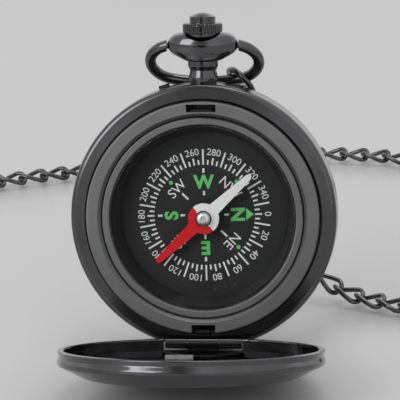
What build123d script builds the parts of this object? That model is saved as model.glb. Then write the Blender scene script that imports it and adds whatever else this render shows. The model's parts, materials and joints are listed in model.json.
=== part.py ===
from build123d import *
import os
from math import asin, atan, atan2, cos, degrees, hypot, radians, sin, tan

# A pocket compass in a round watch-style case with a sprung lid, a crown that frees the lid,
# a bow and a chain. All lengths are in millimetres and all angles in degrees.
#
# The pieces of the case are drawn in the case's own frame: X to the right, Y to twelve o'clock,
# Z out of the dial, with zero on the case's front ledge. The open compass then stands on its lid,
# leaning back until the rear edge meets the floor.

# Clearances and cutting
running_gap = 0.05
slide_gap = 0.15
overrun = 1.0
shortest_line = 0.000001

# Case band, whose front ledge falls a little towards its outer edge
case_radius = 23.5
band_depth = 7.0
band_wall = 1.3
ledge_width = 2.65
ledge_fall = 0.3
band_front_fillet = 1.0
band_rear_fillet = 0.6
band_edge_fillet = 0.15
shelf_depth = 2.5
shelf_thickness = 0.8
shelf_width = 0.95

# Rear cover, snapped into the band
cover_inset = 0.3
cover_depth = 9.2
cover_edge_fillet = 1.8
cover_wall = 0.9
cover_plug_wall = 0.8
cover_plug_height = 0.6
pry_lip_width = 1.9
pry_lip_reach = 0.75
pry_lip_height = 0.9
pry_lip_angle = 18.0

# Raised ring that the lid closes over
bezel_groove = 0.3
bezel_width = 2.05
bezel_top = 1.5
bezel_fillet = 0.3
bezel_bevel_width = 0.6
bezel_bevel_height = 0.7
slot_width = 5.2
slot_height = 1.3
slot_inset = 0.9
slot_roof = 0.6
spring_notch_width = 4.2
spring_notch_inset = 0.4

# Compass capsule
rim_ring_wall = 0.8
rim_ring_lip = 0.5
rim_ring_top = 1.1
rim_ring_skirt = 3.0
rim_ring_fillet = 0.25
crystal_thickness = 1.0
crystal_fillet = 0.15
gasket_width = 0.4
gasket_thickness = 0.3
capsule_slope_width = 1.15
capsule_floor = 1.0
dial_thickness = 0.5
dial_depth = 3.8

# Plastic holder between the capsule and the band
holder_wall_gap = 1.6
holder_top_gap = 0.1
holder_flange_thickness = 0.8
holder_lip_width = 1.4

# Needle on its point; upright, it hangs low by the play of its cap
needle_rim_gap = 3.25
needle_hub_radius = 2.74
needle_root_width = 2.5
needle_tip_width = 1.1
needle_thickness = 0.3
needle_depth = 1.85
needle_turn = 42.5
needle_drop = 0.4
cap_radius = 1.24
cap_height = 0.95
cap_collar_radius = 1.7
cap_collar_height = 0.3
cap_body_radius = 1.15
cap_body_length = 0.45
cap_hollow_radius = 0.9
cap_hollow_height = 1.05
post_radius = 0.5
post_tip_radius = 0.1
post_cone_height = 1.3

# Lid with a waisted wall and a sloping back, and its hinge at six o'clock
lid_inset = 0.5
lid_depth = 5.0
lid_wall_height = 2.5
lid_bulge_fillet = 0.8
lid_slope_width = 5.1
lid_slope_fillet = 3.0
lid_rim_inset = 0.2
lid_waist_inset = 0.55
lid_waist_height = 0.95
lid_waist_fillet = 0.6
lid_rim_wall = 1.4
lid_roof = 0.9
lid_inner_fillet = 1.8
lid_rim_fillet = 0.25
lid_seat_gap = 0.1
lid_opening = 85.0
hinge_inset = 0.8
hinge_height = 0.95
hinge_length = 13.6
hinge_middle_length = 5.6
hinge_end_gap = 0.1
knuckle_radius = 0.95
hinge_pin_radius = 0.38
hinge_trough_radius = 1.3
hinge_relief_radius = 1.1
hinge_web_width = 1.1
hinge_web_foot = 0.2
catch_width = 4.6
catch_thickness = 0.6
catch_reach = 0.6
catch_lip = 0.4
catch_lip_height = 0.4
catch_arm_height = 0.4
catch_arm_gap = 0.2

# Lock and lift springs inside the band
press_travel = 0.5
latch_width = 3.6
latch_thickness = 0.5
latch_nose_height = 0.7
latch_nose_gap = 0.15
latch_plate_height = 0.8
spring_strip_thickness = 0.4
spring_strip_height = 1.2
spring_wall_gap = 0.3
lock_spring_span = 62.0
lock_spring_overlap = 6.0
lift_spring_span = 55.0
spring_screw_inset = 7.0
lift_tip_width = 1.9
lift_tip_top = 0.9
lift_tip_inset = 0.45
lift_tip_thickness = 0.5
spring_screw_radius = 0.45
spring_screw_head_radius = 0.6
spring_screw_head_height = 0.5
spring_screw_bite = 0.7

# Pendant, crown and stem on the case's middle plane
pendant_depth = 4.0
neck_spigot_radius = 1.7
neck_sink = 0.3
neck_lower_height = 2.5
neck_upper_height = 1.6
neck_lower_radius = 2.6
neck_waist_radius = 2.3
neck_upper_radius = 2.7
neck_fillet = 0.6
head_height = 4.9
head_width = 12.3
head_thickness = 7.0
head_level_shares = [0, 0.18, 0.34, 0.49, 0.67, 0.86, 1.0]
head_width_shares = [0.475, 0.76, 0.935, 1.0, 1.0, 0.92, 0.7]
head_thickness_shares = [0.78, 0.88, 0.95, 1.0, 1.0, 0.93, 0.72]
head_dip_radius = 5.0
head_dip = 1.25
stem_radius = 0.9
crown_bowl_height = 1.9
crown_bowl_radius = 3.1
crown_bowl_side = 0.5
crown_foot_radius = 1.9
crown_foot_fillet = 0.5
crown_bowl_fillet = 0.9
crown_radius = 3.48
crown_height = 1.75
crown_fillet = 0.4
crown_flutes = 30
crown_flute_radius = 0.26
crown_bore_depth = 2.2
crown_cap_radius = 2.28
crown_cap_side = 1.15
crown_cap_dome = 0.65

# Bow on two pins in the pendant's head
bow_pivot_drop = 2.2
bow_wire_radius = 1.0
bow_head_gap = 0.2
bow_start_angle = 20.0
bow_shoulder_length = 1.45
bow_side_radius = 4.4
bow_side_turn = 95.0
bow_corner_radius = 5.0
bow_corner_turn = 50.0
bow_pin_radius = 0.55
bow_pin_length = 1.3
bow_cover_gap = 0.65

# Jump ring on the bow, chain links and clasp
jump_ring_radius = 2.9
jump_wire_radius = 0.55
jump_ring_gap = 0.45
jump_ring_place_share = 0.69
link_length = 6.5
link_width = 4.3
link_wire_radius = 0.45
link_pitch = 4.55
link_roll = 45.0
link_gap = 0.05
drop_links = 10
right_links = 33
clasp_radius = 3.2
clasp_bar_width = 1.3
clasp_thickness = 1.9
clasp_gap_start = -20.0
clasp_gap_end = 44.0
clasp_nose_end = 90.0
clasp_nose_reach = 3.6
clasp_slot_start = -48.0
clasp_slot_height = 1.0
clasp_gate_gap = 0.08
clasp_pin_angle = -30.0
clasp_pin_radius = 0.32
clasp_lever_reach = 1.0
clasp_lever_start = 4.0
clasp_lever_end = 26.0
clasp_eye_radius = 2.0
clasp_eye_bore_radius = 1.3
clasp_eye_thickness = 1.0
clasp_eye_place = 4.7
clasp_eye_slack = 0.4

# Chain route below the jump ring: points chosen by hand in the standing frame, down behind the case,
# out to the right along the floor and round behind to the left
chain_points = [
    (7.8, 35.2, 33.0), (9.8, 37.8, 24.0), (12.0, 39.2, 16.4), (14.5, 39.7, 10.6), (17.6, 39.4, 6.2),
    (21.4, 38.4, 3.2), (25.8, 36.4, 1.9), (31.2, 33.5, 1.75), (37.5, 30.6, 1.75), (45.0, 31.5, 1.75),
    (51.0, 37.5, 1.75), (54.0, 48.0, 1.75), (55.0, 61.0, 1.75), (54.5, 75.0, 1.75), (52.0, 89.0, 1.75),
    (47.5, 103.0, 1.75), (40.5, 115.0, 1.75), (31.0, 121.8, 1.75), (19.0, 124.2, 1.75), (6.0, 123.8, 1.75),
    (-8.0, 121.0, 1.75), (-22.0, 116.8, 1.75), (-37.3, 111.6, 1.75), (-51.2, 106.1, 1.75),
    (-58.5, 101.0, 1.75), (-62.0, 92.5, 1.75),
]
chain_arc_share = 0.45

# Radii in the case's frame, from the outside in
band_bore_radius = case_radius - band_wall
ledge_inner_radius = case_radius - ledge_width
shelf_inner_radius = ledge_inner_radius - shelf_width
cover_radius = case_radius - cover_inset
lid_radius = case_radius - lid_inset
hinge_drop = lid_radius - hinge_inset
bezel_radius = ledge_inner_radius - bezel_groove
bezel_inner_radius = bezel_radius - bezel_width
bezel_bore_radius = bezel_inner_radius - bezel_bevel_width
slot_radius = bezel_inner_radius + slot_inset
spring_notch_radius = bezel_inner_radius + spring_notch_inset
rim_ring_radius = bezel_bore_radius - slide_gap
capsule_radius = rim_ring_radius - rim_ring_wall
crystal_radius = capsule_radius - rim_ring_lip - slide_gap
capsule_top_bore_radius = crystal_radius - gasket_width
dial_radius = capsule_top_bore_radius - capsule_slope_width
needle_length = dial_radius - needle_rim_gap
holder_radius = band_bore_radius - holder_wall_gap
holder_lip_radius = capsule_radius - holder_lip_width
strip_outer_radius = band_bore_radius - spring_wall_gap
strip_inner_radius = strip_outer_radius - spring_strip_thickness
lift_tip_outer_radius = ledge_inner_radius - lift_tip_inset
clasp_inner_radius = clasp_radius - clasp_bar_width
clasp_middle_radius = clasp_radius - clasp_bar_width / 2

# Heights in the case's frame
shelf_top = -shelf_depth
shelf_bottom = shelf_top - shelf_thickness
band_bottom = -band_depth
plug_top = band_bottom + cover_plug_height
crystal_bottom = rim_ring_top - crystal_thickness
gasket_bottom = crystal_bottom - gasket_thickness
dial_top = -dial_depth
capsule_floor_top = dial_top - dial_thickness
capsule_bottom = capsule_floor_top - capsule_floor
holder_top = shelf_bottom - holder_top_gap
pendant_z = -pendant_depth
lid_slope = (lid_depth - lid_wall_height) / lid_slope_width

# Places up the pendant's axis
neck_base = case_radius - neck_sink
neck_waist = neck_base + neck_lower_height
neck_top = neck_waist + neck_upper_height
head_top = neck_top + head_height
bow_pivot = head_top - bow_pivot_drop
bow_start = head_width / 2 + bow_head_gap
crown_bowl_top = head_top
crown_bottom = crown_bowl_top - crown_bowl_height
crown_top = crown_bowl_top + crown_height

# How far the bow lies back, to a tenth of a degree, with its wire a gap off the rear cover's edge
edge_reach = bow_pivot - (cover_radius - cover_edge_fillet)
edge_drop = cover_depth - cover_edge_fillet + pendant_z
bow_clear = cover_edge_fillet + bow_wire_radius + bow_cover_gap
bow_lie = atan2(edge_drop, edge_reach) + asin(bow_clear / hypot(edge_reach, edge_drop))
bow_swing_back = round(degrees(bow_lie), 1)


def outline(corners):
    """A closed wire in the XZ plane through (radius, height, fillet) corners, with arcs at round corners."""
    edges = []
    tangents = []
    for index, (r, z, fillet_radius) in enumerate(corners):
        before = Vector(*corners[index - 1][:2])
        here = Vector(r, z)
        after = Vector(*corners[(index + 1) % len(corners)][:2])
        to_before = (before - here).normalized()
        to_after = (after - here).normalized()
        half_angle = radians(to_before.get_angle(to_after)) / 2
        step = fillet_radius / tan(half_angle)
        bisector = (to_before + to_after).normalized() if fillet_radius else Vector(0, 0)
        reach = fillet_radius / sin(half_angle) - fillet_radius
        arc_points = (here + to_before * step, here + bisector * reach, here + to_after * step)
        tangents.append((*arc_points, fillet_radius))
    for index, (first, middle, last, fillet_radius) in enumerate(tangents):
        onward = tangents[(index + 1) % len(tangents)][0]
        if fillet_radius:
            edges.append(ThreePointArc(*[(p.X, 0, p.Y) for p in (first, middle, last)]))
        if (onward - last).length > shortest_line:
            edges.append(Line((last.X, 0, last.Y), (onward.X, 0, onward.Y)))
    return Wire(edges)


def turned(corners):
    """A solid of revolution about Z from (radius, height, fillet) corners."""
    return revolve(Face(outline(corners)), Axis.Z)


def block(x_size, y_low, y_high, z_low, z_high):
    """A block centred on X, between two places along Y and two heights."""
    middle = Pos(0, (y_low + y_high) / 2, (z_low + z_high) / 2)
    return middle * Box(x_size, y_high - y_low, z_high - z_low)


def rod_x(radius, x_low, x_high, y, z):
    """A round rod along X."""
    return Pos((x_low + x_high) / 2, y, z) * Rot(0, 90, 0) * Cylinder(radius, x_high - x_low)


def on_pendant(shape):
    """Turns a shape drawn up the Z axis so that it stands on the pendant's axis."""
    return Pos(0, 0, pendant_z) * Rot(-90, 0, 0) * shape


def rod_y(radius, y_low, y_high):
    """A round rod along the pendant's axis."""
    return on_pendant(Pos(0, 0, (y_low + y_high) / 2) * Cylinder(radius, y_high - y_low))


def ring_part(inner_radius, outer_radius, z_low, z_high, size):
    """A flat ring's part from +X round to an angle."""
    low = [(inner_radius, z_low, 0), (outer_radius, z_low, 0)]
    high = [(outer_radius, z_high, 0), (inner_radius, z_high, 0)]
    return revolve(Face(outline(low + high)), Axis.Z, size)


def arc_strip(inner_radius, outer_radius, start, end, z_low, z_high):
    """A strip that follows the band, between two angles counted clockwise from twelve o'clock."""
    size = end - start
    return Rot(0, 0, 90 - end) * ring_part(inner_radius, outer_radius, z_low, z_high, size)


# Case band with its fixed hinge knuckles
def hinge_outer_zones(radius, end):
    """Two rods on the hinge line, one each side of the lid's knuckle."""
    inner = hinge_middle_length / 2 + hinge_end_gap
    right = rod_x(radius, inner, end, -hinge_drop, hinge_height)
    return [right, mirror(right, Plane.YZ)]


def hinge_webs(x_low, x_high, z_low, z_high):
    """A foot that joins knuckles on one side of the hinge line to their wall."""
    middle = Pos((x_low + x_high) / 2, -hinge_drop, (z_low + z_high) / 2)
    return middle * Box(x_high - x_low, hinge_web_width, z_high - z_low)


def case_band():
    band = turned([
        (band_bore_radius, band_bottom, 0),
        (case_radius, band_bottom, band_rear_fillet),
        (case_radius, -ledge_fall, band_front_fillet),
        (ledge_inner_radius, 0, band_edge_fillet),
        (ledge_inner_radius, shelf_top, 0),
        (shelf_inner_radius, shelf_top, 0),
        (shelf_inner_radius, shelf_bottom, 0),
        (band_bore_radius, shelf_bottom, 0),
    ])
    half = hinge_length / 2
    band -= rod_x(hinge_trough_radius, -half - slide_gap, half + slide_gap, -hinge_drop, hinge_height)
    inner = hinge_middle_length / 2 + hinge_end_gap
    trough_floor = hinge_height - hinge_trough_radius - hinge_web_foot
    web = hinge_webs(inner, half, trough_floor, hinge_height)
    band += [web, mirror(web, Plane.YZ)]
    band += hinge_outer_zones(knuckle_radius, half)
    band -= rod_x(hinge_pin_radius + running_gap, -half - overrun, half + overrun, -hinge_drop, hinge_height)
    band -= block(spring_notch_width, -bezel_radius, -spring_notch_radius,
                  shelf_bottom - overrun, shelf_top + overrun)
    band -= rod_y(neck_spigot_radius + running_gap, band_bore_radius - overrun, case_radius + overrun)
    for angle in spring_screw_angles():
        hole = screw_rod(spring_screw_radius + running_gap, spring_screw_bite + running_gap)
        band -= Rot(0, 0, -angle) * hole
    return band


def rear_cover():
    cavity_radius = band_bore_radius - running_gap - cover_plug_wall
    plug_radius = band_bore_radius - running_gap
    cover = turned([
        (0, -cover_depth, 0),
        (cover_radius, -cover_depth, cover_edge_fillet),
        (cover_radius, band_bottom, 0),
        (plug_radius, band_bottom, 0),
        (plug_radius, plug_top, 0),
        (cavity_radius, plug_top, 0),
        (cavity_radius, -cover_depth + cover_wall, cover_wall),
        (0, -cover_depth + cover_wall, 0),
    ])
    lip = block(pry_lip_width, cover_radius - overrun, cover_radius + pry_lip_reach,
                band_bottom - pry_lip_height, band_bottom - running_gap)
    return cover + Rot(0, 0, pry_lip_angle) * lip


# Front ring and compass capsule
def bezel_ring():
    ring = turned([
        (bezel_bore_radius, shelf_top, 0),
        (bezel_radius, shelf_top, 0),
        (bezel_radius, bezel_top, bezel_fillet),
        (bezel_inner_radius, bezel_top, 0),
        (bezel_bore_radius, bezel_top - bezel_bevel_height, 0),
    ])
    slot_low = slot_radius - slot_height / 2
    slot_high = slot_radius + slot_height / 2
    ring -= block(slot_width, slot_low, slot_high, shelf_top - overrun, bezel_top + overrun)
    ring -= block(slot_width, bezel_bore_radius - overrun, slot_high,
                  shelf_top - overrun, bezel_top - slot_roof)
    ring -= block(spring_notch_width, -case_radius, -spring_notch_radius,
                  shelf_top - overrun, bezel_top + overrun)
    return ring


def capsule_cup():
    dial_bore = dial_radius + running_gap
    cup = turned([
        (post_radius, capsule_bottom, 0),
        (capsule_radius, capsule_bottom, 0),
        (capsule_radius, gasket_bottom, 0),
        (capsule_top_bore_radius, gasket_bottom, 0),
        (dial_bore, dial_top, 0),
        (dial_bore, capsule_floor_top, 0),
        (post_radius, capsule_floor_top, 0),
    ])
    return cup


def rim_ring():
    inner = crystal_radius + slide_gap
    skirt_inner = capsule_radius + running_gap
    return turned([
        (inner, gasket_bottom, 0),
        (skirt_inner, gasket_bottom, 0),
        (skirt_inner, -rim_ring_skirt, 0),
        (rim_ring_radius, -rim_ring_skirt, 0),
        (rim_ring_radius, rim_ring_top, rim_ring_fillet),
        (inner, rim_ring_top, rim_ring_fillet),
    ])


def crystal():
    return turned([
        (0, crystal_bottom, 0),
        (crystal_radius, crystal_bottom, 0),
        (crystal_radius, rim_ring_top, crystal_fillet),
        (0, rim_ring_top, 0),
    ])


def crystal_gasket():
    return turned([
        (crystal_radius - gasket_width, gasket_bottom, 0),
        (crystal_radius, gasket_bottom, 0),
        (crystal_radius, crystal_bottom, 0),
        (crystal_radius - gasket_width, crystal_bottom, 0),
    ])


def dial_card():
    return turned([
        (post_radius + running_gap, capsule_floor_top, 0),
        (dial_radius, capsule_floor_top, 0),
        (dial_radius, dial_top, 0),
        (post_radius + running_gap, dial_top, 0),
    ])


def pivot_post():
    hollow_top = -needle_depth + needle_thickness - cap_body_length + cap_hollow_height
    hollow_slope = cap_hollow_height / cap_hollow_radius
    tip = hollow_top - (needle_drop + post_tip_radius + running_gap) * hollow_slope
    return turned([
        (0, capsule_bottom, 0),
        (post_radius, capsule_bottom, 0),
        (post_radius, tip - post_cone_height, 0),
        (post_tip_radius, tip, 0),
        (0, tip, 0),
    ])


def capsule_holder():
    bore = capsule_radius + running_gap
    flange_radius = band_bore_radius - running_gap
    holder = turned([
        (holder_lip_radius, plug_top, 0),
        (flange_radius, plug_top, 0),
        (flange_radius, plug_top + holder_flange_thickness, 0),
        (holder_radius, plug_top + holder_flange_thickness, 0),
        (holder_radius, holder_top, 0),
        (bore, holder_top, 0),
        (bore, capsule_bottom, 0),
        (holder_lip_radius, capsule_bottom, 0),
    ])
    channel_low = pendant_z - latch_plate_height / 2 - slide_gap
    latch_inner = bezel_inner_radius - press_travel - slide_gap
    holder -= block(latch_width + 2 * slide_gap, latch_inner, case_radius, channel_low, holder_top + overrun)
    foot_low = holder_top - spring_strip_thickness - 2 * slide_gap
    tip_inner = lift_tip_outer_radius - lift_tip_thickness
    holder -= block(lift_tip_width + 2 * slide_gap, -case_radius, -tip_inner + slide_gap,
                    foot_low, holder_top + overrun)
    return holder


# Needle, drawn along X with its centre on the Z axis
def needle_blade():
    half_root = needle_root_width / 2
    half_tip = needle_tip_width / 2
    profile = Polyline((0, half_root), (needle_length - half_tip, half_tip), (needle_length, 0),
                       (needle_length - half_tip, -half_tip), (0, -half_root), close=True)
    arm = make_face(profile)
    flat = arm + Rot(0, 0, 180) * arm + Circle(needle_hub_radius) - Circle(cap_body_radius + running_gap)
    return Pos(0, 0, -needle_depth) * extrude(flat, needle_thickness)


def needle_cap():
    top = -needle_depth + needle_thickness
    bottom = top - cap_body_length
    return turned([
        (0, bottom + cap_hollow_height, 0),
        (cap_hollow_radius, bottom, 0),
        (cap_body_radius, bottom, 0),
        (cap_body_radius, top, 0),
        (cap_collar_radius, top, 0),
        (cap_collar_radius, top + cap_collar_height, 0),
        (cap_radius, top + cap_collar_height, 0),
        (cap_radius, top + cap_height, cap_radius / 2),
        (0, top + cap_height, 0),
    ])


def set_needle(shape):
    """Turns the needle to its reading and lets it hang on its point."""
    return Pos(0, -needle_drop, 0) * Rot(0, 0, needle_turn) * shape


# Lid, drawn closed
def lid_shell():
    rim = lid_seat_gap
    inner = lid_radius - lid_rim_wall
    sink = lid_roof * hypot(1, lid_slope)
    inner_wall_top = lid_wall_height + lid_rim_wall * lid_slope - sink
    inner_flat = lid_radius - (lid_depth - lid_roof - lid_wall_height + sink) / lid_slope
    shell = turned([
        (inner, rim, lid_rim_fillet),
        (lid_radius - lid_rim_inset, rim, lid_rim_fillet),
        (lid_radius - lid_waist_inset, rim + lid_waist_height, lid_waist_fillet),
        (lid_radius, lid_wall_height, lid_bulge_fillet),
        (lid_radius - lid_slope_width, lid_depth, lid_slope_fillet),
        (0, lid_depth, 0),
        (0, lid_depth - lid_roof, 0),
        (inner_flat, lid_depth - lid_roof, lid_inner_fillet),
        (inner, inner_wall_top, 0),
    ])
    half = hinge_length / 2 + slide_gap
    relief_top = hinge_height + hinge_relief_radius
    relief_depth = lid_rim_wall + 2 * overrun
    shell -= block(2 * half, -lid_radius - overrun, -lid_radius + relief_depth, rim - overrun, relief_top)
    middle = hinge_middle_length / 2
    web = hinge_webs(-middle, middle, hinge_height, relief_top + hinge_web_foot)
    shell += [web, rod_x(knuckle_radius, -middle, middle, -hinge_drop, hinge_height)]
    bore_end = middle + overrun
    return shell - rod_x(hinge_pin_radius + running_gap, -bore_end, bore_end, -hinge_drop, hinge_height)


def lid_catch():
    wall = lid_radius - lid_rim_wall
    face = slot_radius + slot_height / 2 - slide_gap
    inner = face - catch_thickness
    arm_low = bezel_top + catch_arm_gap
    arm = block(catch_width, inner, wall, arm_low, arm_low + catch_arm_height)
    reach = Plane.XY * extrude(Circle(wall), lid_depth)
    tongue = block(catch_width, inner, face, -catch_reach, arm_low + catch_arm_height)
    lip = block(catch_width, inner - catch_lip, inner, -catch_reach, -catch_reach + catch_lip_height)
    return (arm & reach) + tongue + lip


def hinge_pin():
    return rod_x(hinge_pin_radius, -hinge_length / 2, hinge_length / 2, -hinge_drop, hinge_height)


def open_lid(shape):
    """Swings a piece of the lid from closed to open about the hinge line."""
    to_hinge = Pos(0, hinge_drop, -hinge_height)
    return to_hinge.inverse() * Rot(lid_opening, 0, 0) * to_hinge * shape


# Springs, latch and their screws
def spring_screw_angles():
    """Where the screws of the lock spring and the lift spring stand, clockwise from twelve o'clock."""
    return [lock_spring_span - spring_screw_inset, 180 + lift_spring_span - spring_screw_inset]


def screw_rod(radius, bite):
    """A rod along the screw's axis, from inside the strip into the band, at twelve o'clock."""
    return rod_y(radius, strip_inner_radius, band_bore_radius + bite)


def spring_screws():
    head_end = strip_inner_radius - spring_screw_head_height
    screw = screw_rod(spring_screw_radius, spring_screw_bite)
    screw += rod_y(spring_screw_head_radius, head_end, strip_inner_radius)
    return Compound(children=[Rot(0, 0, -angle) * screw.solid() for angle in spring_screw_angles()])


def latch_catch():
    nose_outer = slot_radius + slot_height / 2 - slide_gap - catch_thickness - catch_lip / 2
    nose_inner = nose_outer - latch_thickness
    nose_low = -catch_reach + catch_lip_height + latch_nose_gap
    plate_low = pendant_z - latch_plate_height / 2
    post = block(latch_width, nose_inner, nose_outer, plate_low, nose_low + latch_nose_height)
    plate_top = plate_low + latch_plate_height
    plate = block(latch_width, nose_inner, strip_inner_radius - slide_gap, plate_low, plate_top)
    post -= block(latch_width + overrun, nose_outer - catch_lip, case_radius, plate_top, nose_low)
    return post + plate


def lock_spring():
    low = pendant_z - spring_strip_height / 2
    strip = arc_strip(strip_inner_radius, strip_outer_radius, -lock_spring_overlap, lock_spring_span,
                      low, low + spring_strip_height)
    hole = screw_rod(spring_screw_radius + running_gap, overrun)
    return strip - Rot(0, 0, -spring_screw_angles()[0]) * hole


def lift_spring():
    high = holder_top - slide_gap
    foot_low = high - spring_strip_thickness
    low = pendant_z - spring_strip_height / 2
    half_width = degrees(lift_tip_width / 2 / strip_outer_radius)
    strip = arc_strip(strip_inner_radius, strip_outer_radius, 180 - half_width, 180 + lift_spring_span,
                      low, foot_low + spring_strip_thickness)
    tip_inner = lift_tip_outer_radius - lift_tip_thickness
    foot = block(lift_tip_width, -strip_inner_radius - spring_strip_thickness / 2, -tip_inner, foot_low, high)
    tip = block(lift_tip_width, -lift_tip_outer_radius, -tip_inner, foot_low, lift_tip_top)
    spring = strip + foot + tip
    hole = screw_rod(spring_screw_radius + running_gap, overrun)
    return spring - Rot(0, 0, -spring_screw_angles()[1]) * hole


# Pendant, crown and bow
def pendant_neck():
    neck = turned([
        (stem_radius + running_gap, band_bore_radius, 0),
        (neck_spigot_radius, band_bore_radius, 0),
        (neck_spigot_radius, neck_base - neck_sink, 0),
        (neck_lower_radius - neck_fillet / 2, neck_base - neck_sink, 0),
        (neck_lower_radius, (neck_base + neck_waist) / 2, neck_fillet),
        (neck_waist_radius, neck_waist, 0),
        (neck_upper_radius, (neck_waist + neck_top) / 2, neck_fillet),
        (neck_upper_radius, neck_top, 0),
        (stem_radius + running_gap, neck_top, 0),
    ])
    case = Pos(0, 0, band_bottom) * extrude(Circle(case_radius), band_depth + overrun)
    spigot = rod_y(neck_spigot_radius, band_bore_radius, case_radius) - rod_y(
        stem_radius + running_gap, band_bore_radius - overrun, case_radius + overrun)
    return (on_pendant(neck) - case) + spigot


def pendant_head():
    sections = []
    for level, width, thick in zip(head_level_shares, head_width_shares, head_thickness_shares):
        outer = Ellipse(head_width / 2 * width, head_thickness / 2 * thick)
        sections.append(Pos(0, 0, neck_top + level * head_height) * outer)
    head = on_pendant(loft(sections))
    head -= Pos(0, head_top - head_dip + head_dip_radius, pendant_z) * Cylinder(head_dip_radius, head_width)
    head -= crown_room()
    head -= rod_y(stem_radius + running_gap, neck_top - overrun, head_top + overrun)
    pin_end = bow_start - bow_pin_length - slide_gap
    hole = rod_x(bow_pin_radius + running_gap, pin_end, head_width, bow_pivot, pendant_z)
    return head - hole - mirror(hole, Plane.YZ)


def crown_room():
    """The space that the crown's bowl and ring sweep when they are pressed down."""
    sink = press_travel + slide_gap
    ring_radius = crown_radius + slide_gap
    return on_pendant(turned([
        (0, crown_bottom - sink, 0),
        (crown_foot_radius + slide_gap, crown_bottom - sink, 0),
        (crown_bowl_radius + slide_gap, crown_bowl_top - crown_bowl_side - sink, 0),
        (crown_bowl_radius + slide_gap, crown_bowl_top - sink, 0),
        (ring_radius, crown_bowl_top - sink, 0),
        (ring_radius, crown_top, 0),
        (0, crown_top, 0),
    ]))


def stem():
    return rod_y(stem_radius, strip_outer_radius + running_gap, crown_bottom + crown_bore_depth)


def crown():
    bore = stem_radius
    body = turned([
        (bore, crown_bottom, 0),
        (crown_foot_radius, crown_bottom, crown_foot_fillet),
        (crown_bowl_radius, crown_bowl_top - crown_bowl_side, crown_bowl_fillet),
        (crown_bowl_radius, crown_bowl_top, 0),
        (crown_radius, crown_bowl_top, crown_fillet),
        (crown_radius, crown_top, crown_fillet),
        (0, crown_top, 0),
        (0, crown_bottom + crown_bore_depth, 0),
        (bore, crown_bottom + crown_bore_depth, 0),
    ])
    flute = Cylinder(crown_flute_radius, 2 * crown_height + overrun)
    flute = Pos(crown_radius, 0, crown_bowl_top + crown_height) * flute
    cuts = [Rot(0, 0, 360 * index / crown_flutes) * flute for index in range(crown_flutes)]
    return on_pendant(body - cuts)


def crown_cap():
    side_top = crown_top + crown_cap_side
    rise = crown_cap_dome
    dome_radius = (crown_cap_radius ** 2 + rise ** 2) / (2 * rise)
    height = crown_cap_side + rise
    cap = Pos(0, 0, crown_top + height / 2) * Cylinder(crown_cap_radius, height)
    dome = Pos(0, 0, side_top + rise - dome_radius) * Sphere(dome_radius)
    return on_pendant(cap & dome)


def bow_line():
    """Centre line of the bow's right half, hanging from the pivot at zero."""
    start = Vector(bow_start - bow_wire_radius, bow_wire_radius * tan(radians(bow_start_angle)))
    heading = Vector(1, 0).rotate(Axis.Z, -bow_start_angle)
    shoulder = Line(start, start + heading * bow_shoulder_length)
    side = JernArc(shoulder @ 1, heading, bow_side_radius, -bow_side_turn)
    corner = JernArc(side @ 1, side % 1, bow_corner_radius, -bow_corner_turn)
    rest_turn = 180 - bow_start_angle - bow_side_turn - bow_corner_turn
    floor_radius = (corner @ 1).X / sin(radians(rest_turn))
    floor = JernArc(corner @ 1, corner % 1, floor_radius, -rest_turn)
    return Wire([shoulder.edge(), side.edge(), corner.edge(), floor.edge()])


def bow():
    right_line = bow_line()
    section = Plane(right_line @ 0, z_dir=right_line % 0) * Circle(bow_wire_radius)
    right = sweep(section, path=right_line)
    right -= Pos(bow_start - overrun, 0, 0) * Box(2 * overrun, 4 * bow_wire_radius, 4 * bow_wire_radius)
    right += rod_x(bow_pin_radius, bow_start - bow_pin_length, bow_start + bow_pin_radius, 0, 0)
    return right + mirror(right, Plane.YZ)


def hang_bow(shape):
    """Hangs a piece of the bow on the pendant's head, swung back against the case."""
    return Pos(0, bow_pivot, pendant_z) * Rot(bow_swing_back, 0, 0) * shape


# Standing frame: the floor touches the round edge of the lid's flat back and the case's rear edge
def rest_lean():
    """How far the case leans back, with the height of its centre over the floor."""
    turn = radians(lid_opening)
    foot_radius = lid_radius - lid_slope_width - lid_slope_fillet * tan(atan(lid_slope) / 2)
    away = hinge_drop - foot_radius
    out = lid_depth - lid_slope_fillet - hinge_height
    lid_y = -hinge_drop + away * cos(turn) - out * sin(turn)
    lid_z = hinge_height + away * sin(turn) + out * cos(turn)
    rear_y = -(cover_radius - cover_edge_fillet)
    rear_z = -(cover_depth - cover_edge_fillet)
    span = hypot(rear_y - lid_y, lid_z - rear_z)
    lean = asin((lid_slope_fillet - cover_edge_fillet) / span) + atan2(rear_y - lid_y, lid_z - rear_z)
    height = lid_slope_fillet - lid_y * cos(lean) - lid_z * sin(lean)
    return degrees(lean), height


lean_angle, centre_height = rest_lean()


def stand(shape):
    """Moves a piece from the case's frame to the standing frame."""
    return Pos(0, 0, centre_height) * Rot(90 - lean_angle, 0, 0) * shape


# Jump ring, chain and clasp
def jump_ring_frame():
    """The ring's plane: round the bow's bar, passing between the bar and the case's rear edge."""
    spot = hang_bow(Pos(bow_line() @ jump_ring_place_share)).position
    along = (bow_line() % jump_ring_place_share).rotate(Axis.X, bow_swing_back)
    outward = Vector(spot.X, spot.Y, 0).normalized()
    rim = outward * (cover_radius - cover_edge_fillet) - Vector(0, 0, cover_depth - cover_edge_fillet)
    inward = (rim - spot).normalized()
    inward = (inward - along * inward.dot(along)).normalized()
    hanging = inward.cross(along)
    hanging = hanging if hanging.Z < 0 else hanging * -1
    pass_by = bow_wire_radius + jump_wire_radius + jump_ring_gap
    turn = asin(pass_by / jump_ring_radius)
    across = along * -cos(turn) + inward * sin(turn)
    centre = spot + hanging * (jump_ring_radius - pass_by)
    return Plane(centre, x_dir=hanging, z_dir=hanging.cross(across))


def jump_ring():
    return jump_ring_frame() * Torus(jump_ring_radius, jump_wire_radius)


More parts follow.
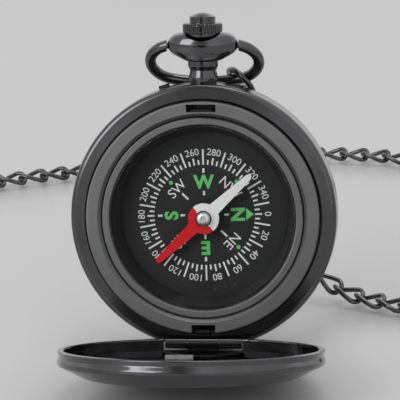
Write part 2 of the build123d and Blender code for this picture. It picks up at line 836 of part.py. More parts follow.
def chain_path(points):
    """The route as straight runs joined by arcs as large as the runs allow."""
    places = [Vector(*point) for point in points]
    radii = []
    for before, here, after in zip(places, places[1:], places[2:]):
        turn = (here - before).get_angle(after - here)
        run = min((here - before).length, (after - here).length)
        radii.append(chain_arc_share * run / tan(radians(turn) / 2))
    return FilletPolyline(*places, radius=radii)


def chain_link():
    """One oval link along X."""
    side = (link_width - 2 * link_wire_radius) / 2
    straight = (link_length - link_width) / 2
    path = SlotCenterToCenter(2 * straight, 2 * side).wire()
    section = Plane(path @ 0, z_dir=path % 0) * Circle(link_wire_radius)
    return sweep(section, path=path)


def link_frame(path, along):
    """Where the path runs at a length along it, with X ahead and Z as near up as it can be."""
    share = along / path.length
    ahead = path % share
    side = ahead.cross(Vector(0, 0, 1))
    return Plane(path @ share, x_dir=ahead, z_dir=side.cross(ahead))


def link_place(index):
    """How far along the path a link's middle lies; the first one hangs in the jump ring."""
    return link_length / 2 - 2 * link_wire_radius - jump_wire_radius - link_gap + index * link_pitch


def link_count(path):
    """How many links the path holds, keeping room for the last one's end."""
    return int((path.length - link_place(0) - link_length / 2) / link_pitch) + 1


def chain_links(path, first, last):
    """Links along the path, each turned across the one before."""
    link = chain_link()
    links = []
    for index in range(first, last):
        roll = link_roll if index % 2 else -link_roll
        links.append(link_frame(path, link_place(index)) * Rot(roll, 0, 0) * link)
    return Compound(children=links)


def sector(inner_radius, outer_radius, start, end, z_low, z_high):
    """A piece of a flat ring between two angles, counted from +X."""
    return Rot(0, 0, start) * ring_part(inner_radius, outer_radius, z_low, z_high, end - start)


def at_clasp_pin(shape):
    """Moves a shape to the pin that the clasp's gate turns on."""
    place = Vector(clasp_middle_radius, 0, clasp_thickness / 2).rotate(Axis.Z, clasp_pin_angle)
    return Pos(place) * shape


def clasp_body():
    middle = clasp_thickness / 2
    half_slot = clasp_slot_height / 2
    bar_length = clasp_eye_place - clasp_middle_radius
    at_eye = Pos(-clasp_eye_place, 0, middle)
    hook = sector(clasp_inner_radius, clasp_radius, clasp_gap_end, 360 + clasp_gap_start, 0, clasp_thickness)
    nose_room = sector(clasp_inner_radius - overrun, clasp_radius + overrun, clasp_gap_start, clasp_nose_end,
                       -overrun, clasp_thickness + overrun)
    hook -= nose_room & at_clasp_pin(Cylinder(clasp_nose_reach, 2 * clasp_thickness))
    bar = at_eye * Pos(bar_length / 2, 0, 0) * Box(bar_length, clasp_bar_width, clasp_eye_thickness)
    body = hook + bar + at_eye * Cylinder(clasp_eye_radius, clasp_eye_thickness)
    body -= at_eye * Cylinder(clasp_eye_bore_radius, 2 * clasp_thickness)
    body -= sector(clasp_inner_radius - overrun, clasp_radius + overrun, clasp_slot_start, clasp_gap_end,
                   middle - half_slot, middle + half_slot)
    return body - at_clasp_pin(Cylinder(clasp_pin_radius, 2 * clasp_thickness))


def clasp_gate():
    """The gate, whose tip is round about its pin so that it swings clear of the hook's nose."""
    middle = clasp_thickness / 2
    half = clasp_slot_height / 2 - clasp_gate_gap
    gate = sector(clasp_inner_radius + clasp_gate_gap, clasp_radius - clasp_gate_gap, clasp_pin_angle,
                  clasp_nose_end, middle - half, middle + half)
    gate &= at_clasp_pin(Cylinder(clasp_nose_reach - slide_gap, 2 * clasp_thickness))
    gate += at_clasp_pin(Cylinder(clasp_bar_width / 2 - clasp_gate_gap, 2 * half))
    gate += sector(clasp_middle_radius, clasp_radius + clasp_lever_reach, clasp_lever_start, clasp_lever_end,
                   middle - half, middle + half)
    return gate - at_clasp_pin(Cylinder(clasp_pin_radius + running_gap, 2 * clasp_thickness))


def clasp_pin():
    return at_clasp_pin(Cylinder(clasp_pin_radius, clasp_thickness))


def lay_clasp(path):
    """Where the clasp lies: its eye on the last link, its nose down on the floor."""
    last = link_place(link_count(path) - 1)
    eye = last + link_length / 2 - link_wire_radius + clasp_eye_slack
    frame = link_frame(path, last)
    place = frame.origin + frame.x_dir * (eye - last)
    heading = degrees(atan2(frame.x_dir.Y, frame.x_dir.X))
    tilt = degrees(asin((place.Z - clasp_thickness / 2) / (clasp_eye_place + clasp_radius)))
    return Pos(place) * Rot(0, 0, heading) * Rot(0, tilt, 0) * Pos(clasp_eye_place, 0, -clasp_thickness / 2)


# Build every node
case_pieces = {
    "case_band": case_band(),
    "rear_cover": rear_cover(),
    "bezel_ring": bezel_ring(),
    "capsule_cup": capsule_cup(),
    "capsule_rim_ring": rim_ring(),
    "crystal": crystal(),
    "crystal_gasket": crystal_gasket(),
    "dial_card": dial_card(),
    "pivot_post": pivot_post(),
    "capsule_holder": capsule_holder(),
    "needle": set_needle(needle_blade()),
    "needle_cap": set_needle(needle_cap()),
    "lid_shell": open_lid(lid_shell()),
    "lid_catch": open_lid(lid_catch()),
    "hinge_pin": hinge_pin(),
    "spring_screws": spring_screws(),
    "latch_catch": latch_catch(),
    "lock_spring": lock_spring(),
    "lift_spring": lift_spring(),
    "pendant_neck": pendant_neck(),
    "pendant_head": pendant_head(),
    "stem": stem(),
    "crown": crown(),
    "crown_cap": crown_cap(),
    "bow": hang_bow(bow()),
}
case_pieces["jump_ring"] = jump_ring()
standing = {name: stand(piece) for name, piece in case_pieces.items()}
extent = Compound(list(standing.values())).bounding_box()
to_middle = Pos(0, -(extent.min.Y + extent.max.Y) / 2, 0)
nodes = {name: to_middle * piece for name, piece in standing.items()}

ring_low = to_middle * stand(jump_ring_frame().location * Pos(jump_ring_radius, 0, 0))
route = chain_path([tuple(ring_low.position), *chain_points])
right_end = drop_links + right_links
nodes["chain_drop"] = chain_links(route, 0, drop_links)
nodes["chain_right"] = chain_links(route, drop_links, right_end)
nodes["chain_far"] = chain_links(route, right_end, link_count(route))
clasp_place = lay_clasp(route)
nodes["clasp_body"] = clasp_place * clasp_body()
nodes["clasp_gate"] = clasp_place * clasp_gate()
nodes["clasp_pin"] = clasp_place * clasp_pin()

# Where the joints and mounts are, for the record
print("lean", lean_angle, "centre height", centre_height, "shift", to_middle.position.Y)
print("hinge", (to_middle * stand(Pos(0, -hinge_drop, hinge_height))).position)
print("needle", (to_middle * stand(Pos(0, -needle_drop, -needle_depth))).position)
print("crown", (to_middle * stand(Pos(0, crown_top, pendant_z))).position)
print("bow pivot", (to_middle * stand(Pos(0, bow_pivot, pendant_z))).position)
print("jump ring hangs to", ring_low.position)
print("clasp pin", (clasp_place * at_clasp_pin(Pos())).position, Plane(clasp_place).z_dir)
print("chain", round(route.length, 1), "links", link_count(route))

os.makedirs("parts", exist_ok=True)
for name, piece in nodes.items():
    export_step(piece, f"parts/{name}.step")
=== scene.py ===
import json
from math import atan2, cos, pi, radians, sin

import bmesh
import bpy
import numpy as np
from mathutils import Matrix, Vector


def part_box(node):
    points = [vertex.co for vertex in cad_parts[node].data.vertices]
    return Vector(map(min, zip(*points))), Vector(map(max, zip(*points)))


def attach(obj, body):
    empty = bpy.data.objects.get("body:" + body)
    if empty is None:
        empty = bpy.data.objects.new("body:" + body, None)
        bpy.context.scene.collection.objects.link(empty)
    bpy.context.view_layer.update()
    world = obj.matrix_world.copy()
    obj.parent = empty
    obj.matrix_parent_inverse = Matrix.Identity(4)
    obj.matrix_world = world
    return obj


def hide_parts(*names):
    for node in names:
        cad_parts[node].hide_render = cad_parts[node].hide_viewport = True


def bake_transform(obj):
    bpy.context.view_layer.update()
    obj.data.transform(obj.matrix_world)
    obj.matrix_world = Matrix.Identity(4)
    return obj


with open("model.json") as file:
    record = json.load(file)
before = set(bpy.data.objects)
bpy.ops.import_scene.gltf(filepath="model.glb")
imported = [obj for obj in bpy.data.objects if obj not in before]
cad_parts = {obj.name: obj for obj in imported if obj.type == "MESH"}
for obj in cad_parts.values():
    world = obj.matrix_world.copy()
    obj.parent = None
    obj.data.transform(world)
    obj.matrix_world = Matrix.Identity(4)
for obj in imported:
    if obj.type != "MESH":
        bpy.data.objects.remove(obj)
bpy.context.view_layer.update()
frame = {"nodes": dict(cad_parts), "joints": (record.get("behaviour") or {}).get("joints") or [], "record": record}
nodes = frame["nodes"]
joints = {joint["name"]: joint for joint in frame["joints"]}

# Camera, fitted to the photograph: the case's centre as it is seen in a frame of 400 by 400
picture_width = 400
picture_middle = 200
view_azimuth = radians(5.9)
view_above_dial = radians(7.1)
view_roll = radians(1.88)
view_distance = 0.55
pixels_per_metre = 5690
centre_seen = (202.8, 217.5)
sensor_width = 36
camera_clip = (0.01, 20)
dial_below_ledge = 0.0038

# Dial printing, in metres: radii, heights and widths on the card
print_lift = 0.00002
print_turn = radians(1)
tick_width = 0.0003
tick_start = 0.00895
tick_ends = {"five": 0.0098, "twenty": 0.0102, "ten": 0.0117}
tick_steps = {"five": 5, "ten": 10, "twenty": 20}
number_radius = 0.01125
number_height = 0.0012
letter_radius = 0.0059
letter_height = 0.0025
letter_bold = 0.0001
pair_radius = 0.00675
pair_height = 0.0017
dash_width = 0.00036
inner_dash = (0.0035, 0.0043)
outer_dash = (0.0075, 0.0083)
diagonal_dash = (0.004, 0.0055)
triangle = (0.00735, 0.0087)
triangle_base = 0.0022
dot_radius_place = 0.00825
dot_radius = 0.00038
dot_sides = 24
text_curve_steps = 6
compass_points = [("N", "NE"), ("E", "SE"), ("S", "SW"), ("W", "NW")]

# Needle cap: where its dome and the painted shade of a groove round it end, as shares of the collar's radius
cap_dome_share = 0.72
cap_painted_shade_share = 0.87

# Patterns of the finishes: noise per metre, its detail, the shares of it that are spread, depths in metres
cloud_scale = 120.0
grain_scales = {"metal": 900.0, "plastic": 2500.0, "paint": 1800.0}
smear_scale = 300.0
coarse_detail = 4.0
fine_detail = 6.0
number_span_shares = (0.3, 0.7)
colour_span_shares = (0.35, 0.65)
relief_depths = {"metal": 0.00002, "plastic": 0.00003, "paint": 0.00002}
polish_relief = 0.01
coarse_relief = 0.03
plastic_relief = 0.15
print_relief = 0.1
needle_relief = 0.08
plastic_rough_spread = 0.05
plastic_shine = 0.25
needle_roughness = 0.4
cap_roughness = (0.26, 0.34)

# Colours of the needle and its cap, darkest and lightest, the cap's dark ring being painted shade of a groove,
# then the crystal's colour, index and roughness
red_paint = ((0.6, 0.006, 0.01), (0.68, 0.009, 0.014))
white_paint = ((0.8, 0.8, 0.79), (0.88, 0.88, 0.87))
cap_silver = ((0.9, 0.9, 0.9), (0.95, 0.95, 0.95))
# the cap's dark ring: painted shade standing in for a groove round the dome
cap_painted_shade_colour = ((0.09, 0.09, 0.09), (0.12, 0.12, 0.12))
crystal_colour = (0.97, 0.98, 0.98, 1)
crystal_index = 1.45
crystal_roughness = (0.0, 0.02)

# Sockets of a node that mixes colours
mix_first = 6
mix_second = 7
mix_result = 2

# Chain: the route's points in metres, then the links' sizes
chain_route = [
    (0.006835, 0.031832, 0.042297), (0.0078, 0.0352, 0.033), (0.0098, 0.0378, 0.024), (0.012, 0.0392, 0.0164),
    (0.0145, 0.0397, 0.0106), (0.0176, 0.0394, 0.0062), (0.0214, 0.0384, 0.0032), (0.0258, 0.0364, 0.0019),
    (0.0312, 0.0335, 0.00175), (0.0375, 0.0306, 0.00175), (0.045, 0.0315, 0.00175), (0.051, 0.0375, 0.00175),
    (0.054, 0.048, 0.00175), (0.055, 0.061, 0.00175), (0.0545, 0.075, 0.00175), (0.052, 0.089, 0.00175),
    (0.0475, 0.103, 0.00175), (0.0405, 0.115, 0.00175), (0.031, 0.1218, 0.00175), (0.019, 0.1242, 0.00175),
    (0.006, 0.1238, 0.00175), (-0.008, 0.121, 0.00175), (-0.022, 0.1168, 0.00175), (-0.0373, 0.1116, 0.00175),
    (-0.0512, 0.1061, 0.00175), (-0.0585, 0.101, 0.00175), (-0.062, 0.0925, 0.00175),
]
chain_steps_per_point = 16
chain_order = 3
link_length = 0.0065
link_width = 0.0043
link_wire = 0.00045
link_pitch = 0.00455
link_start = 0.00175
link_twist = radians(45)
link_rounds = 36
link_sides = 10
sign_digits = 6
near_links = 43

# Floor and lamps, in metres and watts
floor_size = 6.0
floor_colour = (0.5, 0.5, 0.5, 1)
floor_roughness = 0.35
lamp_aim = (0, 0, 0.03)
lamps = {
    "key_left": {"place": (-0.45, -0.5, 0.4), "size": 0.4, "power": 1.8},
    "top": {"place": (0.05, 0.1, 0.7), "size": 0.3, "power": 0.8},
}

# Sky: levels of grey across it, at shares of the way from one end of each axis to the other
sky_level_shares = {
    "X": [(0.0, 0.45), (0.28, 0.6), (0.36, 0.4), (0.42, 0.04), (0.48, 0.02), (0.54, 0.35), (0.6, 0.7),
          (1.0, 0.45)],
    "Y": [(0.0, 0.0), (0.6, 0.0), (0.8, 0.4), (1.0, 0.6)],
    "Z": [(0.5, 0.0), (0.565, 0.015), (0.6, 0.33), (0.65, 0.37), (0.7, 0.22), (0.8, 0.2), (1.0, 0.25)],
}


# Dial frame: X to the right, Y to twelve o'clock, Z out of the card
def dial_frame():
    low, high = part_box("dial_card")
    normal = Vector(joints["needle_spin"]["axis"]).normalized()
    across = Vector((1, 0, 0))
    twelve = normal.cross(across)
    top = max((vertex.co - low).dot(normal) for vertex in nodes["dial_card"].data.vertices)
    middle = (low + high) / 2
    centre = middle + normal * (top - (middle - low).dot(normal) + print_lift)
    rows = Matrix((across, twelve, normal)).transposed().to_4x4()
    rows.translation = centre
    return rows


dial = dial_frame()


# Camera
def add_camera():
    lean = atan2(dial.col[2].z, -dial.col[2].y)
    elevation = lean + view_above_dial
    back = Vector((sin(view_azimuth) * cos(elevation), -cos(view_azimuth) * cos(elevation), sin(elevation)))
    level = Vector((cos(view_azimuth), sin(view_azimuth), 0))
    right = level * cos(view_roll) - back.cross(level) * sin(view_roll)
    up = back.cross(right)
    across = (centre_seen[0] - picture_middle) / pixels_per_metre
    down = (centre_seen[1] - picture_middle) / pixels_per_metre
    data = bpy.data.cameras.new("camera")
    data.sensor_width = sensor_width
    data.lens = sensor_width * view_distance * pixels_per_metre / picture_width
    data.clip_start, data.clip_end = camera_clip
    camera = bpy.data.objects.new("camera", data)
    bpy.context.scene.collection.objects.link(camera)
    camera.location = ledge_centre() - right * across + up * down + back * view_distance
    camera.rotation_mode = "QUATERNION"
    camera.rotation_quaternion = Matrix((right, up, back)).transposed().to_quaternion()
    bpy.context.scene.camera = camera


def ledge_centre():
    """The middle of the case's front ledge, on the dial's axis."""
    normal = dial.col[2].to_3d()
    return dial.translation + normal * (dial_below_ledge - print_lift)


# Material helpers
def new_material(name):
    material = bpy.data.materials.new(name)
    material.use_nodes = True
    tree = material.node_tree
    return material, tree, tree.nodes["Principled BSDF"]


def add_node(tree, kind, inputs=None, **settings):
    node = tree.nodes.new(kind)
    for name, value in settings.items():
        setattr(node, name, value)
    for name, value in (inputs or {}).items():
        node.inputs[name].default_value = value
    return node


def noise(tree, scale, detail=coarse_detail):
    """A noise pattern in the piece's own coordinates, in metres."""
    place = add_node(tree, "ShaderNodeTexCoord")
    pattern = add_node(tree, "ShaderNodeTexNoise", {"Scale": scale, "Detail": detail})
    tree.links.new(place.outputs["Object"], pattern.inputs["Vector"])
    return pattern.outputs["Fac"]


def spread(tree, source, low, high):
    """Maps a pattern of 0 to 1 onto a range of numbers."""
    start, end = number_span_shares
    limits = {"From Min": start, "From Max": end, "To Min": low, "To Max": high}
    remap = add_node(tree, "ShaderNodeMapRange", limits)
    tree.links.new(source, remap.inputs["Value"])
    return remap.outputs["Result"]


def shade(tree, source, dark, light):
    """Blends two colours by a pattern."""
    ramp = add_node(tree, "ShaderNodeValToRGB")
    for element, colour, place in zip(ramp.color_ramp.elements, (dark, light), colour_span_shares):
        element.color = (*colour, 1)
        element.position = place
    tree.links.new(source, ramp.inputs["Fac"])
    return ramp.outputs["Color"]


def bump(tree, bsdf, source, strength, depth):
    node = add_node(tree, "ShaderNodeBump", {"Strength": strength, "Distance": depth})
    tree.links.new(source, node.inputs["Height"])
    tree.links.new(node.outputs["Normal"], bsdf.inputs["Normal"])


# Materials
def metal(name, dark, light, rough_low, rough_high, relief=polish_relief):
    """Metal with faint smudges and a fine grain."""
    material, tree, bsdf = new_material(name)
    bsdf.inputs["Metallic"].default_value = 1.0
    cloud = noise(tree, cloud_scale)
    tree.links.new(shade(tree, cloud, dark, light), bsdf.inputs["Base Color"])
    fine = noise(tree, grain_scales["metal"], fine_detail)
    tree.links.new(spread(tree, fine, rough_low, rough_high), bsdf.inputs["Roughness"])
    bump(tree, bsdf, fine, relief, relief_depths["metal"])
    return material


def plastic(name, dark, light, rough):
    """Moulded plastic with a fine grain."""
    material, tree, bsdf = new_material(name)
    grain = noise(tree, grain_scales["plastic"])
    tree.links.new(shade(tree, grain, dark, light), bsdf.inputs["Base Color"])
    roughness = spread(tree, grain, rough - plastic_rough_spread, rough + plastic_rough_spread)
    tree.links.new(roughness, bsdf.inputs["Roughness"])
    bsdf.inputs["Specular IOR Level"].default_value = plastic_shine
    bump(tree, bsdf, grain, plastic_relief, relief_depths["plastic"])
    return material


def paint(name, dark, light, rough):
    """Printed paint, slightly uneven."""
    material, tree, bsdf = new_material(name)
    grain = noise(tree, grain_scales["paint"])
    tree.links.new(shade(tree, grain, dark, light), bsdf.inputs["Base Color"])
    bsdf.inputs["Roughness"].default_value = rough
    bsdf.inputs["Specular IOR Level"].default_value = plastic_shine
    bump(tree, bsdf, grain, print_relief, relief_depths["paint"])
    return material


def needle_offset(tree):
    """Where a point lies from the needle's pivot, at rest."""
    place = add_node(tree, "ShaderNodeTexCoord")
    offset = add_node(tree, "ShaderNodeVectorMath", operation="SUBTRACT")
    offset.inputs[1].default_value = joints["needle_spin"]["pos_m"]
    tree.links.new(place.outputs["Object"], offset.inputs[0])
    return offset.outputs["Vector"]


def past(tree, source, limit):
    """1 where a number is over the limit, else 0."""
    step = add_node(tree, "ShaderNodeMath", operation="GREATER_THAN")
    step.inputs[1].default_value = limit
    tree.links.new(source, step.inputs[0])
    return step.outputs["Value"]


def mixed(tree, factor, first, second):
    """The first colour where the factor is 0 and the second where it is 1."""
    mix = add_node(tree, "ShaderNodeMix", data_type="RGBA")
    tree.links.new(factor, mix.inputs["Factor"])
    tree.links.new(first, mix.inputs[mix_first])
    tree.links.new(second, mix.inputs[mix_second])
    return mix.outputs[mix_result]


def needle_colour(tree, offset, grain):
    """White on one half of the needle and red on the other."""
    low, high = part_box("needle")
    toward = Vector((high.x - low.x, low.y - high.y, high.z - low.z)).normalized()
    along = add_node(tree, "ShaderNodeVectorMath", operation="DOT_PRODUCT")
    along.inputs[1].default_value = toward
    tree.links.new(offset, along.inputs[0])
    red, white = shade(tree, grain, *red_paint), shade(tree, grain, *white_paint)
    return mixed(tree, past(tree, along.outputs["Value"], 0.0), red, white)


def needle_paint():
    """Slightly uneven paint in the needle's two colours."""
    material, tree, bsdf = new_material("needle_paint")
    grain = noise(tree, grain_scales["paint"])
    tree.links.new(needle_colour(tree, needle_offset(tree), grain), bsdf.inputs["Base Color"])
    bsdf.inputs["Roughness"].default_value = needle_roughness
    bsdf.inputs["Specular IOR Level"].default_value = plastic_shine
    bump(tree, bsdf, grain, needle_relief, relief_depths["paint"])
    return material


def reach_from_axis(tree, offset):
    """How far a point lies from the needle's axis."""
    across = add_node(tree, "ShaderNodeVectorMath", operation="CROSS_PRODUCT")
    across.inputs[1].default_value = joints["needle_spin"]["axis"]
    reach = add_node(tree, "ShaderNodeVectorMath", operation="LENGTH")
    tree.links.new(offset, across.inputs[0])
    tree.links.new(across.outputs["Vector"], reach.inputs[0])
    return reach.outputs["Value"]


def needle_cap_finish():
    """Silver dome ringed by a dark band of painted shade where a groove would be, on a collar painted like the
    needle.
    """
    material, tree, bsdf = new_material("needle_cap")
    low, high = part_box("needle_cap")
    collar_radius = (high.x - low.x) / 2
    offset = needle_offset(tree)
    reach = reach_from_axis(tree, offset)
    # a dark ring of painted shade, standing in for a groove, lies between the silver dome and the painted collar
    on_painted_shade = past(tree, reach, cap_dome_share * collar_radius)
    on_collar = past(tree, reach, cap_painted_shade_share * collar_radius)
    grain = noise(tree, grain_scales["paint"])
    dome_and_painted_shade = mixed(tree, on_painted_shade, shade(tree, grain, *cap_silver), shade(tree, grain, *cap_painted_shade_colour))
    colour = mixed(tree, on_collar, dome_and_painted_shade, needle_colour(tree, offset, grain))
    tree.links.new(colour, bsdf.inputs["Base Color"])
    bare = add_node(tree, "ShaderNodeMath", operation="SUBTRACT")
    bare.inputs[0].default_value = 1.0
    tree.links.new(on_collar, bare.inputs[1])
    tree.links.new(bare.outputs["Value"], bsdf.inputs["Metallic"])
    tree.links.new(spread(tree, grain, *cap_roughness), bsdf.inputs["Roughness"])
    bsdf.inputs["Specular IOR Level"].default_value = plastic_shine
    return material


def glass():
    """Clear crystal with faint smears."""
    material, tree, bsdf = new_material("crystal_glass")
    bsdf.inputs["Base Color"].default_value = crystal_colour
    bsdf.inputs["Transmission Weight"].default_value = 1.0
    bsdf.inputs["IOR"].default_value = crystal_index
    smear = noise(tree, smear_scale)
    tree.links.new(spread(tree, smear, *crystal_roughness), bsdf.inputs["Roughness"])
    return material


gunmetal = metal("polished_gunmetal", (0.1, 0.1, 0.104), (0.125, 0.125, 0.13), 0.1, 0.16)
band_gunmetal = metal("band_gunmetal", (0.095, 0.095, 0.098), (0.115, 0.115, 0.119), 0.16, 0.22)
satin_gunmetal = metal("satin_gunmetal", (0.19, 0.19, 0.193), (0.22, 0.22, 0.223), 0.52, 0.58)
chain_metal = metal("chain_gunmetal", (0.09, 0.09, 0.094), (0.12, 0.12, 0.125), 0.16, 0.24, coarse_relief)
# A darker copy of the steel: its dark colour is painted shade of the slot where the latch catch sits, and the lift
# spring wears it too
shade_darkened_steel = metal("shade_darkened_steel", (0.05, 0.05, 0.055), (0.07, 0.07, 0.075), 0.3, 0.4, coarse_relief)
steel = metal("bright_steel", (0.5, 0.5, 0.5), (0.56, 0.56, 0.56), 0.2, 0.3)
dial_black = plastic("dial_black", (0.016, 0.016, 0.016), (0.02, 0.02, 0.02), 0.5)
capsule_black = plastic("capsule_black", (0.02, 0.02, 0.02), (0.028, 0.028, 0.028), 0.35)
gasket_black = plastic("gasket_black", (0.012, 0.012, 0.012), (0.018, 0.018, 0.018), 0.7)
white_print = paint("white_print", (0.78, 0.78, 0.77), (0.86, 0.86, 0.85), 0.55)
green_print = paint("green_print", (0.12, 0.54, 0.14), (0.15, 0.62, 0.17), 0.55)

finishes = {
    "case_metal": gunmetal, "chain_metal": chain_metal, "steel": steel, "capsule_plastic": capsule_black,
    "dial": dial_black, "glass": glass(), "gasket": gasket_black, "needle_paint": needle_paint(),
    "needle_dome": needle_cap_finish(),
}
special_finishes = {
    "case_band": band_gunmetal, "bezel_ring": satin_gunmetal, "capsule_rim_ring": satin_gunmetal,
    # the darkened steel here is painted shade, not a different metal
    "latch_catch": shade_darkened_steel, "lift_spring": shade_darkened_steel,
}


def dress_nodes():
    """Gives every solid the material of its slot, or its own finish of that metal; the latch catch and lift spring
    get a darkened steel whose dark colour is painted shade.
    """
    for part in frame["record"]["subparts"]:
        data = nodes[part["node"]].data
        data.materials.clear()
        data.materials.append(special_finishes.get(part["node"], finishes[part["material_slot"]]))
    nodes["crystal"].visible_shadow = False


def bend_lock_spring():
    """Stands an unbent copy in for the lock spring, whose end in the real compass goes down with the stem that
    presses it.
    """
    spring = bpy.data.objects.new("bent_lock_spring", nodes["lock_spring"].data.copy())
    bpy.context.scene.collection.objects.link(spring)
    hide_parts("lock_spring")
    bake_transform(spring)


# Dial printing
class Printing:
    """Collects flat shapes on the dial, each with a colour, into one mesh."""

    def __init__(self):
        self.mesh = bmesh.new()

    def face(self, points, colour):
        corners = [self.mesh.verts.new((x, y, 0)) for x, y in points]
        self.mesh.faces.new(corners).material_index = colour

    def bar(self, degree, start, end, width, colour):
        out = outward(degree)
        side = Vector((out.y, -out.x)) * width / 2
        self.face([out * start - side, out * start + side, out * end + side, out * end - side], colour)

    def text(self, words, degree, radius, height, bold, colour):
        data = bpy.data.curves.new("glyph", "FONT")
        data.body = words
        data.offset = bold / height
        data.resolution_u = text_curve_steps
        holder = bpy.data.objects.new("glyph", data)
        flat = bpy.data.meshes.new_from_object(holder)
        places = np.array([vertex.co for vertex in flat.vertices])
        low, high = places.min(0), places.max(0)
        size = height / (high[1] - low[1])
        turn = Matrix.Rotation(heading(degree) - pi / 2, 2)
        middle = (low + high) / 2
        shift = outward(degree) * radius
        corners = []
        for place in places:
            spot = turn @ Vector(((place - middle) * size)[:2]) + shift
            corners.append(self.mesh.verts.new((spot.x, spot.y, 0)))
        for polygon in flat.polygons:
            self.mesh.faces.new([corners[i] for i in polygon.vertices]).material_index = colour
        bpy.data.objects.remove(holder)
        bpy.data.curves.remove(data)
        bpy.data.meshes.remove(flat)

    def finish(self, name, materials):
        self.mesh.transform(dial)
        data = bpy.data.meshes.new(name)
        self.mesh.to_mesh(data)
        self.mesh.free()
        for material in materials:
            data.materials.append(material)
        piece = bpy.data.objects.new(name, data)
        bpy.context.scene.collection.objects.link(piece)
        return piece


def heading(degree):
    """The angle on the card of a compass degree: north lies to the right and degrees run clockwise."""
    return print_turn - radians(degree)


def outward(degree):
    """The direction on the card of a compass degree."""
    return Vector((cos(heading(degree)), sin(heading(degree))))


def print_ticks(sheet, white):
    """The ring of degrees: marks at every five, and a number at every twenty."""
    for degree in range(0, 360, tick_steps["five"]):
        kind = next(kind for kind in ("twenty", "ten", "five") if degree % tick_steps[kind] == 0)
        sheet.bar(degree, tick_start, tick_ends[kind], tick_width, white)
        if kind == "twenty":
            sheet.text(str(degree), degree, number_radius, number_height, 0, white)


def print_points(sheet, white, green):
    """The letters of the eight points with their dashes and dots."""
    quarter = 360 // len(compass_points)
    rim = [2 * pi * i / dot_sides for i in range(dot_sides)]
    for index, (letter, pair) in enumerate(compass_points):
        degree = quarter * index
        sheet.text(letter, degree, letter_radius, letter_height, letter_bold, green)
        sheet.bar(degree, *inner_dash, dash_width, white)
        if letter != "N":
            sheet.bar(degree, *outer_dash, dash_width, white)
        diagonal = degree + quarter / 2
        sheet.text(pair, diagonal, pair_radius, pair_height, 0, white)
        sheet.bar(diagonal, *diagonal_dash, dash_width, white)
        dot = outward(diagonal) * dot_radius_place
        sheet.face([(dot.x + dot_radius * cos(a), dot.y + dot_radius * sin(a)) for a in rim], green)


def print_north(sheet, green):
    """The triangle that points to north."""
    out = outward(0)
    side = Vector((out.y, -out.x)) * triangle_base / 2
    sheet.face([out * triangle[0] - side, out * triangle[0] + side, out * triangle[1]], green)


def print_dial():
    white, green = 0, 1
    sheet = Printing()
    print_ticks(sheet, white)
    print_points(sheet, white, green)
    print_north(sheet, green)
    piece = sheet.finish("dial_print", [white_print, green_print])
    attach(piece, "case")


# Chain
def route_line():
    """Points along the chain's smooth line, read from its spline."""
    data = bpy.data.curves.new("chain_line", "CURVE")
    data.dimensions = "3D"
    data.resolution_u = chain_steps_per_point
    spline = data.splines.new("NURBS")
    spline.points.add(len(chain_route) - 1)
    for point, place in zip(spline.points, chain_route):
        point.co = (*place, 1)
    spline.order_u = chain_order
    spline.use_endpoint_u = True
    holder = bpy.data.objects.new("chain_line", data)
    mesh = bpy.data.meshes.new_from_object(holder)
    line = np.array([vertex.co for vertex in mesh.vertices])
    bpy.data.objects.remove(holder)
    bpy.data.curves.remove(data)
    bpy.data.meshes.remove(mesh)
    return line


def link_shape():
    """Rings of points round one link's wire: an oval twisted about its length, so that links nest."""
    bend = link_width / 2 - link_wire
    straight = (link_length - link_width) / 2
    middle = []
    for i in range(link_rounds):
        angle = 2 * pi * i / link_rounds
        x = straight * np.sign(np.round(cos(angle), sign_digits)) + bend * cos(angle)
        y = bend * sin(angle)
        turn = link_twist * x / (link_length / 2)
        middle.append((x, y * cos(turn), y * sin(turn)))
    middle = np.array(middle)
    ahead = np.roll(middle, -1, 0) - np.roll(middle, 1, 0)
    ahead /= np.linalg.norm(ahead, axis=1)[:, None]
    away = middle * (0, 1, 1)
    away[:, 0] = np.maximum(np.abs(middle[:, 0]) - straight, 0) * np.sign(middle[:, 0])
    away -= ahead * (away * ahead).sum(1)[:, None]
    away /= np.linalg.norm(away, axis=1)[:, None]
    across = np.cross(ahead, away)
    around = 2 * pi * np.arange(link_sides)[None, :, None] / link_sides
    spokes = away[:, None] * np.cos(around) + across[:, None] * np.sin(around)
    return middle[:, None] + link_wire * spokes


def carried_frames(line):
    """Direction and upward vectors along the line, carried back from the floor without twisting."""
    ahead = np.gradient(line, axis=0)
    ahead /= np.linalg.norm(ahead, axis=1)[:, None]
    up = np.zeros_like(line)
    up[-1] = (0, 0, 1)
    for i in range(len(line) - 2, -1, -1):
        up[i] = up[i + 1] - ahead[i] * (up[i + 1] @ ahead[i])
        up[i] /= np.linalg.norm(up[i])
    return ahead, up


def run_along(line):
    """The length along the line at each of its points."""
    return np.r_[0, np.cumsum(np.linalg.norm(np.diff(line, axis=0), axis=1))]


def row_at(along, run, rows):
    """The row of a table along the line at one length."""
    return np.array([np.interp(along, run, column) for column in rows.T])


def link_faces(base):
    """The faces of one link, whose points start at a given number."""
    faces = []
    for i in range(link_rounds):
        for j in range(link_sides):
            ring, side = (i + 1) % link_rounds, (j + 1) % link_sides
            corners = [(i, j), (ring, j), (ring, side), (i, side)]
            faces.append([base + a * link_sides + b for a, b in corners])
    return faces


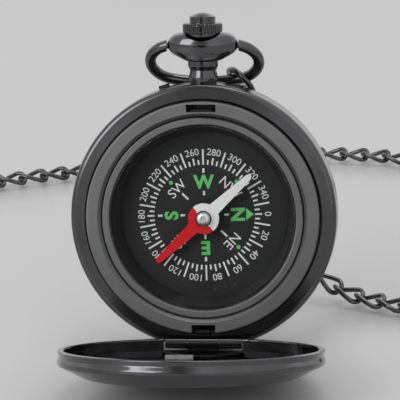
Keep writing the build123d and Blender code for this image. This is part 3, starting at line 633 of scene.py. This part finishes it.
def make_links(name, line, first, last):
    """A run of links along the line as one mesh."""
    run = run_along(line)
    ahead, up = carried_frames(line)
    shape = link_shape().reshape(-1, 3)
    points, faces = [], []
    for index in range(first, last):
        along = link_start + index * link_pitch
        x_way = row_at(along, run, ahead)
        x_way /= np.linalg.norm(x_way)
        y_way = np.cross(row_at(along, run, up), x_way)
        axes = np.array([x_way, y_way, np.cross(x_way, y_way)])
        faces.extend(link_faces(len(points)))
        points.extend((shape @ axes + row_at(along, run, line)).tolist())
    data = bpy.data.meshes.new(name)
    data.from_pydata(points, [], faces)
    data.polygons.foreach_set("use_smooth", [True] * len(data.polygons))
    data.materials.append(chain_metal)
    piece = bpy.data.objects.new(name, data)
    bpy.context.scene.collection.objects.link(piece)
    return piece


def length_of(line):
    return float(np.linalg.norm(np.diff(line, axis=0), axis=1).sum())


def add_chain():
    line = route_line()
    total = int((length_of(line) - link_start - link_length / 2) / link_pitch) + 1
    near = make_links("chain_near", line, 0, near_links)
    far = make_links("chain_behind", line, near_links, total)
    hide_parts("chain_drop", "chain_right")
    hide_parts("chain_far")
    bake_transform(near)
    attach(far, "case")


# Floor, lights and sky
def add_floor():
    data = bpy.data.meshes.new("floor")
    half = floor_size / 2
    corners = [(-half, -half, 0), (half, -half, 0), (half, half, 0), (-half, half, 0)]
    data.from_pydata(corners, [], [(0, 1, 2, 3)])
    material, tree, bsdf = new_material("pale_floor")
    bsdf.inputs["Base Color"].default_value = floor_colour
    bsdf.inputs["Roughness"].default_value = floor_roughness
    data.materials.append(material)
    floor = bpy.data.objects.new("floor", data)
    bpy.context.scene.collection.objects.link(floor)


def add_lamps():
    for name, lamp in lamps.items():
        data = bpy.data.lights.new(name, "AREA")
        data.size = lamp["size"]
        data.energy = lamp["power"]
        holder = bpy.data.objects.new(name, data)
        holder.location = lamp["place"]
        holder.rotation_mode = "QUATERNION"
        holder.rotation_quaternion = (Vector(lamp_aim) - holder.location).to_track_quat("-Z", "Y")
        bpy.context.scene.collection.objects.link(holder)


def sky_ramp(tree, source, stops):
    """Grey levels along one direction of the sky, which runs from -1 to 1."""
    share = add_node(tree, "ShaderNodeMapRange", {"From Min": -1.0, "From Max": 1.0})
    ramp = add_node(tree, "ShaderNodeValToRGB")
    for place, level in stops[1:-1]:
        ramp.color_ramp.elements.new(place).color = (level, level, level, 1)
    for end in (0, -1):
        level = stops[end][1]
        ramp.color_ramp.elements[end].position = stops[end][0]
        ramp.color_ramp.elements[end].color = (level, level, level, 1)
    tree.links.new(source, share.inputs["Value"])
    tree.links.new(share.outputs["Result"], ramp.inputs["Fac"])
    return ramp.outputs["Color"]


def add_sky():
    """A soft studio: dark low in front, brighter at the sides, behind and above."""
    world = bpy.data.worlds.new("studio")
    bpy.context.scene.world = world
    world.use_nodes = True
    tree = world.node_tree
    way = add_node(tree, "ShaderNodeTexCoord")
    axes = add_node(tree, "ShaderNodeSeparateXYZ")
    tree.links.new(way.outputs["Generated"], axes.inputs["Vector"])
    total = tree.nodes["Background"].inputs["Color"]
    for axis, stops in sky_level_shares.items():
        adder = add_node(tree, "ShaderNodeMix", {"Factor": 1.0}, data_type="RGBA", blend_type="ADD")
        adder.inputs[mix_second].default_value = (0, 0, 0, 1)
        tree.links.new(adder.outputs[mix_result], total)
        tree.links.new(sky_ramp(tree, axes.outputs[axis], stops), adder.inputs[mix_first])
        total = adder.inputs[mix_second]


bpy.context.scene.view_settings.view_transform = "Standard"
add_camera()
dress_nodes()
bend_lock_spring()
add_chain()
print_dial()
add_floor()
add_sky()
add_lamps()
